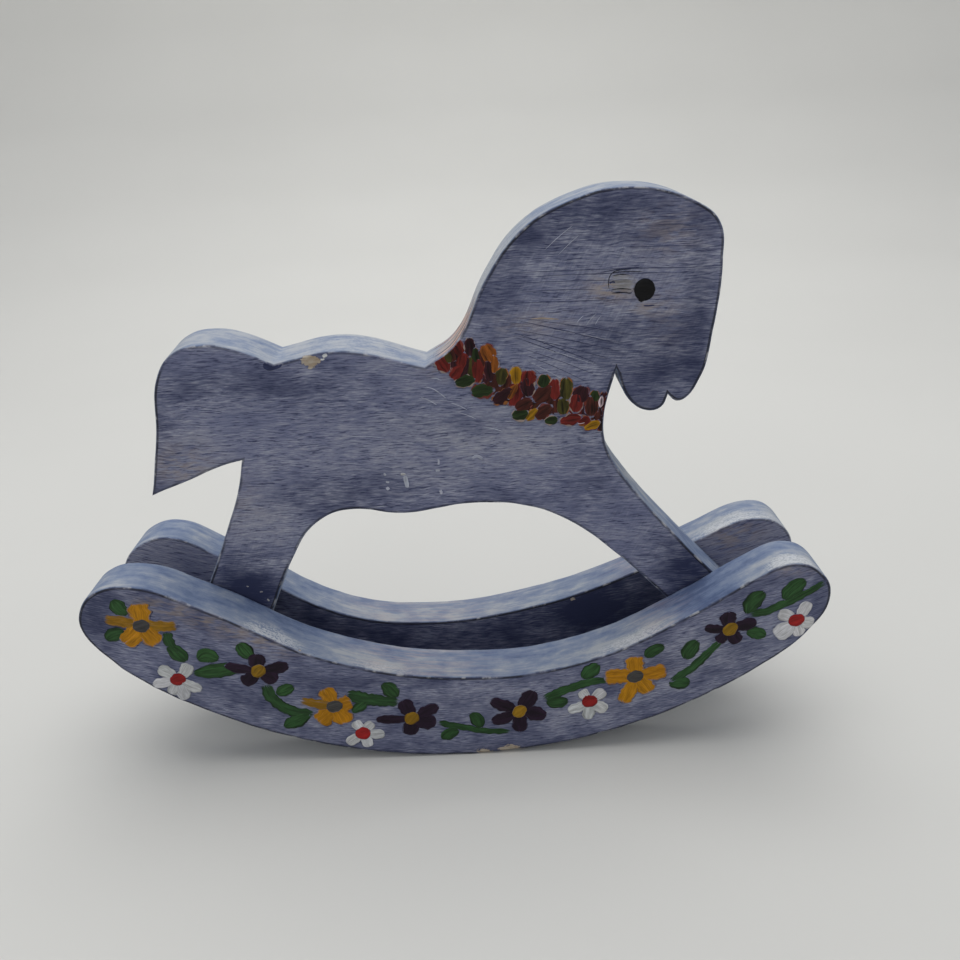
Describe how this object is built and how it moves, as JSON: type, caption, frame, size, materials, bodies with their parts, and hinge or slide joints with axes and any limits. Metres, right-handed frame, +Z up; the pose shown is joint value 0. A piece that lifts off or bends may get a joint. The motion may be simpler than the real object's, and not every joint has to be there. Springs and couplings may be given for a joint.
{
  "type": "rocking horse",
  "caption": "Small hand-painted wooden rocking horse ornament: a flat profile horse standing between two curved rockers with painted flowers.",
  "frame": {"origin": "centre of the bounding box's base, on the shelf, with the horse level at rest", "axes": "+X towards the horse's nose, +Y towards the far rocker, +Z up"},
  "size_m": [0.2566, 0.0576, 0.1945],
  "materials": {
    "horse_wood": "slate-blue dry-brushed acrylic paint on pine, satin, worn at the edges",
    "near_rocker_wood": "slate-blue dry-brushed acrylic paint on pine with painted flowers, satin, worn at the edges",
    "far_rocker_wood": "slate-blue dry-brushed acrylic paint on pine with painted flowers, satin, worn at the edges",
    "pin_steel": "bright drawn steel wire"
  },
  "bodies": {
    "root": {"horse_body": "horse_wood", "near_rocker": "near_rocker_wood", "far_rocker": "far_rocker_wood", "near_pin_rear_leg_back": "pin_steel", "near_pin_rear_leg_front": "pin_steel", "near_pin_front_leg_back": "pin_steel", "near_pin_front_leg_front": "pin_steel", "far_pin_rear_leg_back": "pin_steel", "far_pin_rear_leg_front": "pin_steel", "far_pin_front_leg_back": "pin_steel", "far_pin_front_leg_front": "pin_steel"}
  },
  "joints": []
}
